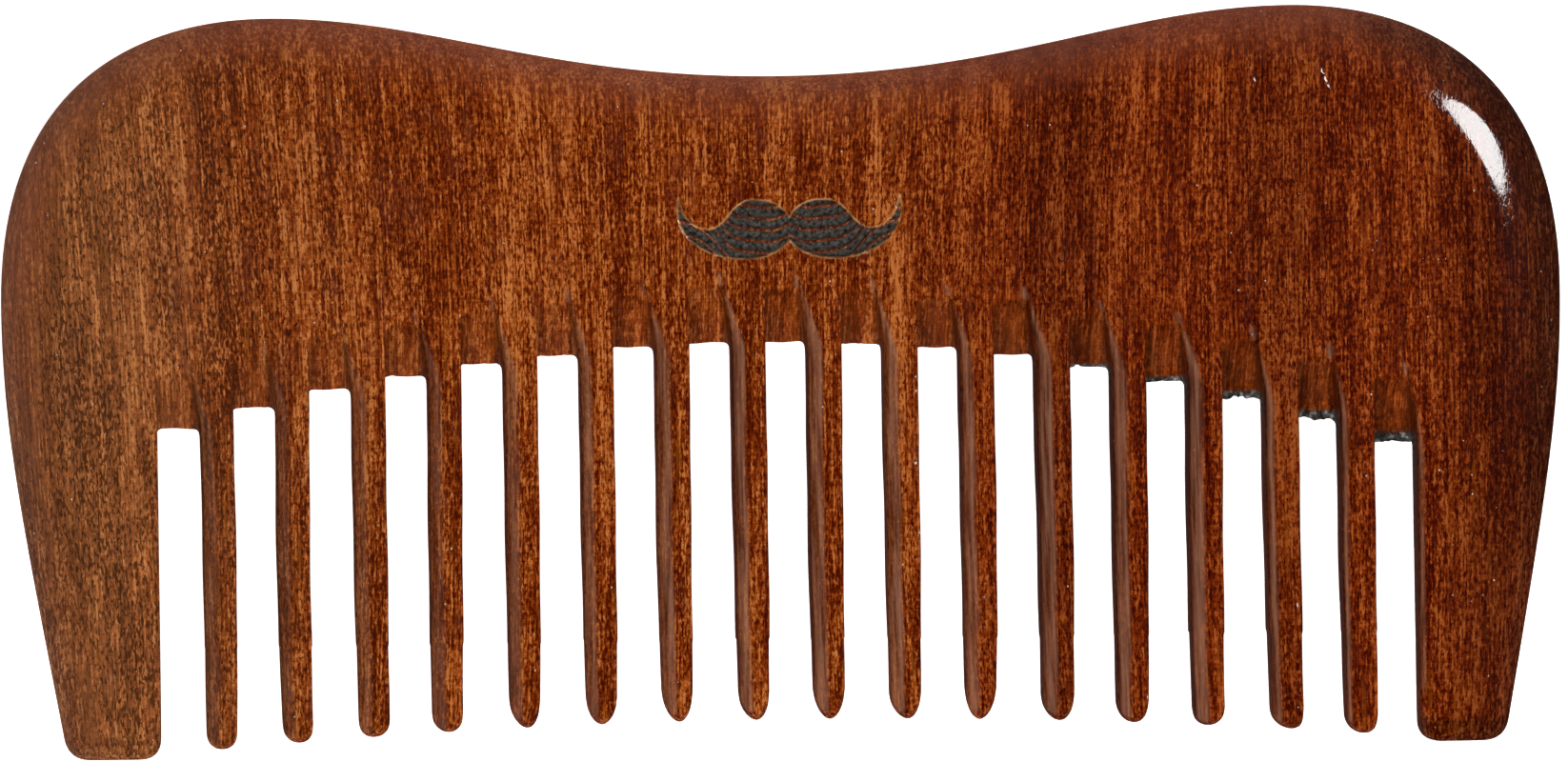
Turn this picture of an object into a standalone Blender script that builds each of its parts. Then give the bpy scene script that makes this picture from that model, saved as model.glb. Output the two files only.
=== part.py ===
"""A wooden beard comb: one plate of wood, shaped round its rim, with a row of sawn teeth.

The comb lies on its flat back, with its teeth towards -Y and its front face up. Metres, +Z up.
The wood is one carved piece. It is modelled as its members, which are the spine, the two guards
and the teeth, each divided from the spine at a flat, nearly closed plane across its root.

Heights are measured up the comb from the lowest point of the guards, and FOOT_Y brings them into
the world, where the origin is the middle of the comb's footprint on the ground.
"""

import math

import bmesh
import bpy
from mathutils import Vector

MM = 0.001

# Overall sizes.
COMB_WIDTH = 125.0 * MM
COMB_HEIGHT = 59.2 * MM
SPINE_THICKNESS = 9.0 * MM
TIP_THICKNESS = 6.0 * MM
RIM_ROUND = 3.6 * MM  # how far the rounding of the rim reaches in from the outline

# The outline: a shallow saddle between two humps, full sides, and guards that lean inwards.
SADDLE_DEPTH = 5.15 * MM
HUMP_OFFSET = 41.0 * MM  # from the comb's middle to the top of a hump
WIDEST_HEIGHT = 36.5 * MM
FOOT_INSET = 4.9 * MM  # how far a guard's foot lies inside the widest point
FOOT_LEAN = 0.18  # sideways run of a guard's outer edge at its foot, for each unit of height

# How far the handles of the outline's curves reach, as shares of the stretch that each spans.
SADDLE_HANDLE = 0.46
HUMP_INNER_HANDLE = 0.32
HUMP_OUTER_HANDLE = 0.47
SHOULDER_HANDLE = 0.79
SIDE_HANDLE = 0.27
FOOT_HANDLE = 0.55

# Teeth and the saw cuts between them.
TOOTH_COUNT = 16
GUARD_FOOT_WIDTH = 7.2 * MM
CUT_WIDTH = 3.4 * MM
ROW_SHIFT = 0.27 * MM  # the row of teeth stands this far to the right of the outline's middle
TAPER_HEIGHT = 27.0 * MM  # the teeth and guards thin out below this height
ROOT_HEIGHT = 32.56 * MM  # the highest root of a cut
ROOT_MIDDLE = -2.4 * MM  # where along the comb that is
ROOT_DROP = 7.5 * MM  # how far the line of the roots falls over half the row
RAMP_HEIGHT = 4.4 * MM  # each cut ends in a ramp, which climbs this far from back to front
TIP_HEIGHT = 2.36 * MM  # the tips in the middle stop this far above the guards' feet
OUTER_TIP_HEIGHT = 0.23 * MM  # and the line of the tips comes down to this at the guards
TIP_LENGTH = 1.6 * MM  # the length over which a tooth's end is rounded
TIP_NARROWING = 0.2 * MM  # how much slimmer a tooth is at its tip than at its root
FLANK_BEVEL = 1.1 * MM  # the wide bevel down one front edge of a tooth
EDGE_BEVEL = 0.25 * MM  # the eased edges elsewhere
GUARD_INNER_ROUND = 1.6 * MM  # the two corners of a guard's foot, seen from the front
GUARD_OUTER_ROUND = 0.9 * MM
FOOT_CHAMFER_HEIGHT = 1.5 * MM  # the band that slopes each face in to a guard's foot
FOOT_CHAMFER_DEPTH = 0.8 * MM
MEMBER_GAP = 0.02 * MM  # between a member's root plane and the spine

# The ornament cut into the front face.
MARK_WIDTH = 17.7 * MM
MARK_HEIGHT = 5.0 * MM
MARK_DEPTH = 0.4 * MM
MARK_SHIFT = 0.6 * MM
MARK_MIDDLE_HEIGHT = 41.9 * MM

CURVE_STEPS = 12
RIM_STEPS = 4
ROUND_STEPS = 4
TIP_STEPS = 4
CUT_MARGIN = 4.0 * MM  # how far a cutting shape runs past what it cuts
SHARP_DEGREES = 30  # an edge that turns more than this is drawn sharp

SPINE_BROWN = (0.27, 0.10, 0.04)
GUARD_BROWN = (0.25, 0.09, 0.04)
TOOTH_BROWN = (0.29, 0.11, 0.045)
BODY_ROUGHNESS = 0.4
TOOTH_ROUGHNESS = 0.35

FOOT_Y = -COMB_HEIGHT / 2
HALF_WIDTH = COMB_WIDTH / 2
MID_Z = SPINE_THICKNESS / 2
ROW_HALF = HALF_WIDTH - FOOT_INSET - GUARD_FOOT_WIDTH
TOOTH_PITCH = (2 * ROW_HALF - CUT_WIDTH) / TOOTH_COUNT
TOOTH_WIDTH = TOOTH_PITCH - CUT_WIDTH
BELOW_FEET_Y = FOOT_Y - CUT_MARGIN * 3  # where the cutting shapes start, clear of the outline
MEMBER_CLEARANCE = CUT_WIDTH / 4  # how far the spine is cleared on each side of a member


# Rules of the shape.


def root_height(x):
    """Height of a cut's root on the back face."""
    return ROOT_HEIGHT - ROOT_DROP * ((x - ROOT_MIDDLE) / ROW_HALF) ** 2


def tip_height(x):
    """Height of a tooth's tip."""
    return TIP_HEIGHT - (TIP_HEIGHT - OUTER_TIP_HEIGHT) * ((x - ROW_SHIFT) / ROW_HALF) ** 2


def half_thickness(height):
    """Half the wood's thickness: even in the spine, and thinner towards the tips."""
    thinned = max(0.0, TAPER_HEIGHT - height) / TAPER_HEIGHT
    return (SPINE_THICKNESS - (SPINE_THICKNESS - TIP_THICKNESS) * thinned) / 2


def cut_middle(index):
    """Middle of a saw cut along the comb, from 0 at the left guard."""
    return ROW_SHIFT - ROW_HALF + CUT_WIDTH / 2 + index * TOOTH_PITCH


def tooth_middle(index):
    """Middle of a tooth along the comb, from 0 at the left."""
    return (cut_middle(index) + cut_middle(index + 1)) / 2


def tooth_root_plane(index):
    """Height where a tooth meets the spine: the lower of its two cuts' roots."""
    return min(root_height(cut_middle(index)), root_height(cut_middle(index + 1)))


def guard_root_plane(side):
    """Height where a guard meets the spine. Side is -1 for the left one and 1 for the right."""
    return root_height(cut_middle(0 if side < 0 else TOOTH_COUNT))


def guard_inner_edge(side):
    return ROW_SHIFT + side * ROW_HALF


# Points and meshes.


def bezier(start, start_handle, end_handle, end, steps):
    """Points along a cubic curve, without its last one."""
    points = []
    for step in range(steps):
        t = step / steps
        s = 1 - t
        points.append(
            start * s**3 + start_handle * 3 * s**2 * t + end_handle * 3 * s * t**2 + end * t**3
        )
    return points


def right_outline():
    """The outline from the saddle's middle round to the right foot, and on past it."""
    saddle = Vector((0, COMB_HEIGHT - SADDLE_DEPTH))
    hump = Vector((HUMP_OFFSET, COMB_HEIGHT))
    widest = Vector((HALF_WIDTH, WIDEST_HEIGHT))
    foot = Vector((HALF_WIDTH - FOOT_INSET, 0))
    across = Vector((1, 0))
    down = Vector((0, -1))
    up_the_edge = Vector((FOOT_LEAN, 1))
    shoulder = widest - hump
    top = bezier(
        saddle,
        saddle + across * SADDLE_HANDLE * HUMP_OFFSET,
        hump - across * HUMP_INNER_HANDLE * HUMP_OFFSET,
        hump,
        CURVE_STEPS,
    )
    corner = bezier(
        hump,
        hump + across * HUMP_OUTER_HANDLE * shoulder.x,
        widest + down * SHOULDER_HANDLE * shoulder.y,
        widest,
        CURVE_STEPS,
    )
    side = bezier(
        widest,
        widest + down * SIDE_HANDLE * WIDEST_HEIGHT,
        foot + up_the_edge * FOOT_HANDLE * WIDEST_HEIGHT,
        foot,
        CURVE_STEPS,
    )
    past_the_foot = foot - up_the_edge * CUT_MARGIN * 2
    return top + corner + side + [foot, past_the_foot]


def whole_outline():
    """The closed outline, clockwise from the saddle's middle."""
    right = right_outline()
    left = [Vector((-point.x, point.y)) for point in reversed(right[1:])]
    return right + left


def inset(outline, distance):
    """The outline moved inwards by this distance, with its corners kept sharp."""
    moved = []
    count = len(outline)
    for index, point in enumerate(outline):
        before = (point - outline[index - 1]).normalized()
        after = (outline[(index + 1) % count] - point).normalized()
        inward_before = Vector((before.y, -before.x))
        inward_after = Vector((after.y, -after.x))
        middle = (inward_before + inward_after).normalized()
        moved.append(point + middle * distance / middle.dot(inward_before))
    return moved


def add_object(name, mesh):
    thing = bpy.data.objects.new(name, mesh)
    bpy.context.scene.collection.objects.link(thing)
    return thing


def mesh_from_rings(name, rings):
    """A closed body through rings of equally many points, capped at both ends."""
    work = bmesh.new()
    rows = [[work.verts.new(point) for point in ring] for ring in rings]
    count = len(rings[0])
    for low, high in zip(rows, rows[1:]):
        for index in range(count):
            after = (index + 1) % count
            work.faces.new((low[index], low[after], high[after], high[index]))
    work.faces.new(rows[0])
    work.faces.new(rows[-1])
    bmesh.ops.recalc_face_normals(work, faces=work.faces)
    mesh = bpy.data.meshes.new(name)
    work.to_mesh(mesh)
    work.free()
    return mesh


def mesh_of_prisms(name, prisms):
    """One mesh of separate prisms, each given as its two end polygons."""
    work = bmesh.new()
    for near_end, far_end in prisms:
        near = [work.verts.new(point) for point in near_end]
        far = [work.verts.new(point) for point in far_end]
        count = len(near)
        work.faces.new(near)
        work.faces.new(far)
        for index in range(count):
            after = (index + 1) % count
            work.faces.new((near[index], near[after], far[after], far[index]))
    bmesh.ops.recalc_face_normals(work, faces=work.faces)
    mesh = bpy.data.meshes.new(name)
    work.to_mesh(mesh)
    work.free()
    return mesh


def profile_prism(left, right, profile):
    """The two ends of a shape of (y, z) points drawn out along X."""
    return [[(x, y, z) for y, z in profile] for x in (left, right)]


def plan_prism(low_z, high_z, outline):
    """The two ends of a shape of (x, y) points drawn up along Z."""
    return [[(x, y, z) for x, y in outline] for z in (low_z, high_z)]


def box_prism(low, high):
    """The two ends of a box between two corners, across X."""
    profile = ((low[1], low[2]), (high[1], low[2]), (high[1], high[2]), (low[1], high[2]))
    return profile_prism(low[0], high[0], profile)


def cutter(name, prisms):
    """A hidden shape that Booleans use."""
    thing = add_object(name, mesh_of_prisms(name, prisms))
    thing.display_type = "WIRE"
    thing.hide_render = True
    return thing


def boolean(thing, operation, other):
    modifier = thing.modifiers.new(other.name, "BOOLEAN")
    modifier.operation = operation
    modifier.object = other
    modifier.solver = "EXACT"


def wood(name, colour, roughness):
    material = bpy.data.materials.new(name)
    material.use_nodes = True
    shader = material.node_tree.nodes["Principled BSDF"]
    shader.inputs["Base Color"].default_value = (*colour, 1)
    shader.inputs["Roughness"].default_value = roughness
    shader.inputs["Metallic"].default_value = 0
    return material


# The comb's members.


def blank_mesh():
    """The plate before it is sawn: the outline with its rim rounded to both faces."""
    outline = whole_outline()
    rings = []
    for step in range(-RIM_STEPS, RIM_STEPS + 1):
        angle = step / RIM_STEPS * math.pi / 2
        z = MID_Z + math.sin(angle) * SPINE_THICKNESS / 2
        ring = inset(outline, RIM_ROUND * (1 - math.cos(angle)))
        rings.append([(point.x, point.y + FOOT_Y, z) for point in ring])
    return mesh_from_rings("blank", rings)


def taper_cutter():
    """What comes off both faces: a wedge down to the feet, and a steeper band just above them."""
    reach = HALF_WIDTH + CUT_MARGIN
    chamfer_steepness = FOOT_CHAMFER_DEPTH / FOOT_CHAMFER_HEIGHT
    foot_depth = half_thickness(FOOT_CHAMFER_HEIGHT) - FOOT_CHAMFER_DEPTH
    wedges = []
    for side in (-1, 1):
        outside_z = MID_Z + side * (SPINE_THICKNESS / 2 + CUT_MARGIN)
        steps = (
            (TAPER_HEIGHT, half_thickness(TAPER_HEIGHT)),
            (FOOT_CHAMFER_HEIGHT, half_thickness(FOOT_CHAMFER_HEIGHT)),
            (0, foot_depth),
            (-CUT_MARGIN, foot_depth - CUT_MARGIN * chamfer_steepness),
        )
        profile = [(height + FOOT_Y, MID_Z + side * depth) for height, depth in steps]
        profile += [(FOOT_Y - CUT_MARGIN, outside_z), (TAPER_HEIGHT + FOOT_Y, outside_z)]
        wedges.append(profile_prism(-reach, reach, profile))
    return cutter("taper_cutter", wedges)


def saw_cutter():
    """The cuts between the teeth, each with the ramp that the saw leaves at its root."""
    steepness = RAMP_HEIGHT / SPINE_THICKNESS
    cuts = []
    for index in range(TOOTH_COUNT + 1):
        middle = cut_middle(index)
        root_y = root_height(middle) + FOOT_Y
        low_z = -CUT_MARGIN
        high_z = SPINE_THICKNESS + CUT_MARGIN
        profile = (
            (BELOW_FEET_Y, low_z),
            (root_y + steepness * low_z, low_z),
            (root_y + steepness * high_z, high_z),
            (BELOW_FEET_Y, high_z),
        )
        cuts.append(profile_prism(middle - CUT_WIDTH / 2, middle + CUT_WIDTH / 2, profile))
    return cutter("saw_cutter", cuts)


def tooth_clearance_cutter():
    """What the spine gives up to the teeth, below each tooth's root plane."""
    reach = TOOTH_WIDTH / 2 + MEMBER_CLEARANCE
    boxes = []
    for index in range(TOOTH_COUNT):
        middle = tooth_middle(index)
        low = (middle - reach, BELOW_FEET_Y, -CUT_MARGIN)
        high = (middle + reach, tooth_root_plane(index) + FOOT_Y, SPINE_THICKNESS + CUT_MARGIN)
        boxes.append(box_prism(low, high))
    return cutter("tooth_clearance_cutter", boxes)


def guard_clearance_cutter():
    """What the spine gives up to the guards, below their root planes."""
    boxes = []
    for side in (-1, 1):
        inner_x = guard_inner_edge(side) - side * MEMBER_CLEARANCE
        outer_x = side * (HALF_WIDTH + CUT_MARGIN)
        low = (min(inner_x, outer_x), BELOW_FEET_Y, -CUT_MARGIN)
        high_y = guard_root_plane(side) + FOOT_Y
        high = (max(inner_x, outer_x), high_y, SPINE_THICKNESS + CUT_MARGIN)
        boxes.append(box_prism(low, high))
    return cutter("guard_clearance_cutter", boxes)


def mark_outline():
    """The ornament: a plain moustache, drawn as one side's curves and their mirror image."""
    dip = Vector((0, 0.16))
    lobe = Vector((0.17, 0.44))
    wrist = Vector((0.37, -0.02))
    curl = Vector((0.5, 0.5))
    belly = Vector((0.2, -0.5))
    parting = Vector((0, -0.2))
    steps = CURVE_STEPS // 2
    right = bezier(dip, Vector((0.03, 0.34)), Vector((0.08, 0.46)), lobe, steps)
    right += bezier(lobe, Vector((0.27, 0.42)), Vector((0.28, -0.02)), wrist, steps)
    right += bezier(wrist, Vector((0.44, -0.02)), Vector((0.49, 0.2)), curl, steps)
    right += bezier(curl, Vector((0.54, -0.2)), Vector((0.36, -0.5)), belly, steps)
    right += bezier(belly, Vector((0.1, -0.5)), Vector((0.03, -0.36)), parting, steps)
    right.append(parting)
    left = [Vector((-point.x, point.y)) for point in reversed(right[1:-1])]
    middle_y = MARK_MIDDLE_HEIGHT + FOOT_Y
    return [
        (point.x * MARK_WIDTH + MARK_SHIFT, point.y * MARK_HEIGHT + middle_y)
        for point in right + left
    ]


def mark_cutter():
    floor_z = SPINE_THICKNESS - MARK_DEPTH
    return cutter("mark_cutter", [plan_prism(floor_z, SPINE_THICKNESS + CUT_MARGIN, mark_outline())])


def make_spine(blank, taper):
    spine = add_object("spine", blank)
    boolean(spine, "DIFFERENCE", taper)
    boolean(spine, "DIFFERENCE", saw_cutter())
    boolean(spine, "DIFFERENCE", tooth_clearance_cutter())
    boolean(spine, "DIFFERENCE", guard_clearance_cutter())
    boolean(spine, "DIFFERENCE", mark_cutter())
    return spine


def arc_points(middle, radius, start_degrees, end_degrees):
    points = []
    for step in range(ROUND_STEPS + 1):
        angle = math.radians(start_degrees + (end_degrees - start_degrees) * step / ROUND_STEPS)
        points.append((middle[0] + radius * math.cos(angle), middle[1] + radius * math.sin(angle)))
    return points


def guard_outline(side):
    """A guard from the front: its inner edge and its foot's two round corners, left open to the side."""
    inner = side * guard_inner_edge(side)
    foot_end = HALF_WIDTH - FOOT_INSET
    outer_reach = GUARD_OUTER_ROUND * (math.sqrt(1 + FOOT_LEAN**2) - FOOT_LEAN)
    inner_middle = (inner + GUARD_INNER_ROUND, FOOT_Y + GUARD_INNER_ROUND)
    outer_middle = (foot_end - outer_reach, FOOT_Y + GUARD_OUTER_ROUND)
    lean_degrees = math.degrees(math.atan(FOOT_LEAN))
    points = arc_points(inner_middle, GUARD_INNER_ROUND, 180, 270)
    points += arc_points(outer_middle, GUARD_OUTER_ROUND, -90, -lean_degrees)
    past_side = HALF_WIDTH + CUT_MARGIN
    root_y = guard_root_plane(side) + FOOT_Y - MEMBER_GAP
    points += [(past_side, points[-1][1]), (past_side, root_y), (inner, root_y)]
    return [(side * x, y) for x, y in points]


def make_guard(side, blank, taper):
    """A wide outer tooth: the side of the blank, trimmed to the guard's outline."""
    name = "left_guard" if side < 0 else "right_guard"
    trim = plan_prism(-CUT_MARGIN, SPINE_THICKNESS + CUT_MARGIN, guard_outline(side))
    guard = add_object(name, blank.copy())
    boolean(guard, "DIFFERENCE", taper)
    boolean(guard, "INTERSECT", cutter(name + "_trim", [trim]))
    return guard


def tooth_ring(middle, height, half_width, half_depth, flank):
    """One section of a tooth at this height, with its wide bevel at the front left."""
    eased = min(EDGE_BEVEL, half_width / 2, half_depth / 2)
    flank = max(eased, min(flank, half_width, half_depth))
    left = middle - half_width
    right = middle + half_width
    back = MID_Z - half_depth
    front = MID_Z + half_depth
    y = height + FOOT_Y
    return [
        (left + eased, y, back),
        (right - eased, y, back),
        (right, y, back + eased),
        (right, y, front - eased),
        (right - eased, y, front),
        (left + flank, y, front),
        (left, y, front - flank),
        (left, y, back + eased),
    ]


def make_tooth(index):
    """A tooth, from its rounded tip up to its root plane."""
    middle = tooth_middle(index)
    tip = tip_height(middle)
    root = tooth_root_plane(index) - MEMBER_GAP
    rings = []
    for step in range(1, TIP_STEPS + 1):
        # The end is a quarter of an ellipse in both directions.
        angle = step / TIP_STEPS * math.pi / 2
        height = tip + TIP_LENGTH * (1 - math.cos(angle))
        share = math.sin(angle)
        half_width = (TOOTH_WIDTH - TIP_NARROWING) / 2 * share
        half_depth = half_thickness(height) - TIP_LENGTH * (1 - share)
        rings.append(tooth_ring(middle, height, half_width, half_depth, FLANK_BEVEL * share))
    taper_end = min(TAPER_HEIGHT, (tip + root) / 2 + (root - tip) / 4)
    for height in (taper_end, root):
        flank = FLANK_BEVEL * (root - height) / (root - taper_end)
        rings.append(
            tooth_ring(middle, height, TOOTH_WIDTH / 2, half_thickness(height), flank)
        )
    name = f"tooth_{index + 1:02d}"
    return add_object(name, mesh_from_rings(name, rings))


def clear_scene():
    for thing in list(bpy.data.objects):
        bpy.data.objects.remove(thing)


def finish_member(member, material):
    member.data.materials.append(material)
    member.data.shade_smooth()
    member.data.set_sharp_from_angle(angle=math.radians(SHARP_DEGREES))


def build():
    clear_scene()
    blank = blank_mesh()
    taper = taper_cutter()
    spine_wood = wood("spine_wood", SPINE_BROWN, BODY_ROUGHNESS)
    finish_member(make_spine(blank.copy(), taper), spine_wood)
    for side, name in ((-1, "left_guard_wood"), (1, "right_guard_wood")):
        finish_member(make_guard(side, blank, taper), wood(name, GUARD_BROWN, BODY_ROUGHNESS))
    for index in range(TOOTH_COUNT):
        tooth_wood = wood(f"tooth_{index + 1:02d}_wood", TOOTH_BROWN, TOOTH_ROUGHNESS)
        finish_member(make_tooth(index), tooth_wood)


build()
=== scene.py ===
"""Looks for the beard comb: one carved, sawn and varnished piece of wood.

The comb's shape is a signed field, which is the distance to the wood's surface in millimetres,
negative inside. It is made of the plate with its rounded rim, less the saw cuts, bevels and
engraving. The field is meshed once as a single seamless body, which stands for every CAD member.
x runs along the comb, h is the height above the guards' feet, and z is the depth above the back.
"""

import math

import bpy
import numpy as np
from mathutils import Matrix, Vector


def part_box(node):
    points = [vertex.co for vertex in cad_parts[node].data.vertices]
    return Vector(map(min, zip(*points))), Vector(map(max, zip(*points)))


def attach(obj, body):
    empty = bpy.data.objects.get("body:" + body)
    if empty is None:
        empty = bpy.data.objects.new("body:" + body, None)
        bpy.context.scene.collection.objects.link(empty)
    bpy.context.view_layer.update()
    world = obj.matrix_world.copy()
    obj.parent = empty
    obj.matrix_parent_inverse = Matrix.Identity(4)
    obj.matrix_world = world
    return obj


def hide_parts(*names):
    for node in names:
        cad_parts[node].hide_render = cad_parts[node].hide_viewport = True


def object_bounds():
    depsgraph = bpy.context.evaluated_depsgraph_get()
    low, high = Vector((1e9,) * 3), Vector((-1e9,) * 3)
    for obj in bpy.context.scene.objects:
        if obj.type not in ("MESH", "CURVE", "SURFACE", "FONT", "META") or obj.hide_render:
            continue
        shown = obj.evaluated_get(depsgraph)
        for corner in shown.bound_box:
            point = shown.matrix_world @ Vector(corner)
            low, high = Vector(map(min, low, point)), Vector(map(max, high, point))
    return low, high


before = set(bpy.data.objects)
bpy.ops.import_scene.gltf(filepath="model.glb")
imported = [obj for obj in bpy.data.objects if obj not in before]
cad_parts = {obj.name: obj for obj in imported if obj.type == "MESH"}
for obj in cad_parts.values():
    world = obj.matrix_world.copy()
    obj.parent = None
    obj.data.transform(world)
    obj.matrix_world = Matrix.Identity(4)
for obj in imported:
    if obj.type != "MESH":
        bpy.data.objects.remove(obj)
cad_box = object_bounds()

MM = 0.001
PER_MM = 1 / MM

# Sizes from the frame. These and all later lengths are in millimetres, down to the studio.
LOW = np.array(cad_box[0]) * PER_MM
HIGH = np.array(cad_box[1]) * PER_MM
HALF_WIDTH = (HIGH[0] - LOW[0]) / 2
COMB_HEIGHT = HIGH[1] - LOW[1]
THICKNESS = HIGH[2] - LOW[2]
FOOT_Y = LOW[1]
MID_Z = THICKNESS / 2
TEETH = sorted(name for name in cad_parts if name.startswith("tooth_"))
TOOTH_COUNT = len(TEETH)

# The outline, as in the CAD model.
SADDLE_DEPTH = 5.15
HUMP_OFFSET = 41.0
WIDEST_HEIGHT = 36.5
FOOT_INSET = 4.9
FOOT_LEAN = 0.18
PAST_FOOT = 8.0

# How far each of the outline's handles reaches, as a share of the stretch beside it.
SADDLE_HANDLE = 0.46
HUMP_INNER_HANDLE = 0.32
HUMP_OUTER_HANDLE = 0.47
SHOULDER_HANDLE = 0.79
SIDE_HANDLE = 0.27
FOOT_HANDLE = 0.55
OUTLINE_STEPS = 40
MARK_STEPS = 14

# The grids on which the two loops' distances are kept.
OUTLINE_GRID = 0.2
OUTLINE_MARGIN = 3
BELOW_FEET = 5
MARK_GRID = 0.05
MARK_MARGIN = 2

# The rim's rounding reaches further in at the comb's corners than along its saddle.
RIM_ROUND_SADDLE = 3.0
RIM_ROUND_CORNER = 5.6
SADDLE_END = 20
CORNER_START = 48

# The wood thins towards the tips, easing in over the first few millimetres.
TIP_THICKNESS = 6.0
TAPER_HEIGHT = 27.0
TAPER_EASING = 3

# How deep the faces' slight unevenness goes.
HAND_FINISH = 0.02

# The guards' feet are chamfered at the front, and eased all round.
FOOT_CHAMFER_HEIGHT = 1.7
FOOT_CHAMFER_DEPTH = 0.8
FOOT_CHAMFER_SLOPE = 0.88
FOOT_CHAMFER_EASED = 0.7
FOOT_EASED = 1.8

# Saw cuts. Each ends in a ramp, which climbs from the back face to the front.
ROOT_HEIGHT = 32.56
ROOT_MIDDLE = -2.4
ROOT_DROP = 7.5
RAMP_HEIGHT = 4.4
RAMP_CURVE = 0.85
RAMP_SLOPE = 0.9
RAMP_PAST_FACE = 1.2
ROOT_WOBBLE = 0.03
ROOT_WOBBLE_RATE = 2.3
ROOT_SPREAD = 0.06
RAMP_SPREAD = 0.2
ROOT_TILT_SPREAD = 0.012
WALL_LEAN = 0.75
WALL_LEAN_BELOW_ROOT = 1
WALL_LEAN_ABOVE_RAMP = 1.5
GROOVE_DEPTH = 0.22
GROOVE_EDGE = 0.12
GROOVE_WIDENING = 0.5
GROOVE_START = 0.8
GROOVE_FULL = 2.4
EASED = 0.2
CUT_CORNER_EASED = 0.45

# The wide bevel on the front corner of each cut's right-hand wall.
BEVEL_DEPTH = 0.74
BEVEL_ACROSS = 0.70
BEVEL_DOWN = 0.714
BEVEL_FADE = 5.5
BEVEL_ABOVE_RAMP = 0.6
BEVEL_EASED = 0.45
BEVEL_PAST_WALL = 0.25
BEVEL_LIFT = 0.3
BEVEL_SPREAD = 0.07
BEVEL_TOP_SPREAD = 0.5
NARROWED = 0.6
NARROW_FROM = 3.4
NARROW_TO = 0.6
GUARD_BEVEL = 0.42
GUARD_BEVEL_TOP = -1

# The saw burnt a ragged lip at the last few roots, larger at each one to the right.
BURNT_CUTS = 5
LIP_GROWTH = 0.18
LIP_FLAT = 0.7
LIP_END = 1.3
RAGGED = ((3.3, 0.1), (8, 0.06))

# The teeth lean, bow and slim below this height, each by its own chance.
TOOTH_BEND_HEIGHT = 28
LEAN = 0.1
LEAN_SPREAD = 0.09
BOW_SPREAD = 0.06
SLIMMING = 0.14
MIDDLE_SLIMMING = 0.16
SLIMMING_SPREAD = 0.03
RIPPLE = 0.025
RIPPLE_RATE = 0.55
RIPPLE_START = 4
LEFT_SIDE = 0.7
RIGHT_SIDE = 2.1

# Blunt tips on the outer teeth, and longer, more pointed ones in the middle of the row.
POINTED_FROM = 0.2
POINTED_FULL = 0.65
TIP_LENGTH = 1.45
MIDDLE_TIP_LENGTH = 0.95
TIP_LENGTH_SPREAD = 0.2
TIP_POWER = 2.2
MIDDLE_TIP_POWER = 0.3
TIP_SHIFT = 0.08
TIP_SHIFT_SPREAD = 0.1
TIP_ROUND_THROUGH = 0.6

# Two small grooves that a tool left in the face: where each starts and ends, and its radius.
NICKS = (
    ((37.6, 55.8), (38.5, 52.2), 0.34),
    ((43.3, 55.2), (44.4, 52.0), 0.4),
)
NICK_EASED = 0.12
NICK_STEEPNESS = 4
NICK_END_SHARE = 0.35

# How far from each feature the field is still changed by it.
CUT_REACH = 2.4
CUT_REACH_UP = 9
TIP_REACH = 3.0
TIP_REACH_UP = 9
FOOT_REACH = 5
FACE_REACH = 1.5
NICK_REACH = 3
NICK_REACH_UP = 7

# The engraved ornament.
MARK_WIDTH = 17.7
MARK_HEIGHT = 5.0
MARK_DEPTH = 0.35
MARK_EASED = 0.1
MARK_BED_SLOPE = 0.8
STRANDS = 5.5
STRAND_RELIEF = 0.85
MARK_X = 0.6
MARK_H = 41.9

# The mesh: grid steps beside the ornament, at it, and through the plate, and its most faces.
PLAIN_STEP = 0.27
PLAIN_STEP_UP = 0.3
MARK_STEP = 0.13
BACK_STEP = 0.25
MIDDLE_STEP = 0.36
FRONT_STEP = 0.16
MOST_FACES = 196_000

# How the mesh's points are moved onto the surface, and how their normals are measured.
SLOPE_STEP = 0.03
NORMAL_STEP = 0.06
LEAST_STEEPNESS = 0.25
MOST_MOVE = 0.2
ROUNDS_BEFORE_THINNING = 2
ROUNDS_AFTER_THINNING = 3

# The distance from each kind of place at which the material's share of it is full, and none.
ON_RAMP = (0.12, 0.4)
ON_GROOVE = (0.15, 0.4)
ON_BEVEL = (0.04, 0.16)
ON_RIM = (1.0, 5.0)
ON_CORNER_EDGE = (0.8, 4.6)
# How strong the bevels' painted sheen and faded pores are: faint at the left, full from near the
# middle.
FAINT_BEVEL = 0.45
FAINT_BEVEL_END = -38
FULL_BEVEL_START = -8

chance = np.random.default_rng(11)


# Curves and distances in the plane of the face.


def bezier(start, start_handle, end_handle, end, steps):
    """Points along a cubic curve, without its last one."""
    t = (np.arange(steps) / steps)[:, None]
    s = 1 - t
    return start * s**3 + start_handle * 3 * s**2 * t + end_handle * 3 * s * t**2 + end * t**3


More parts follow.
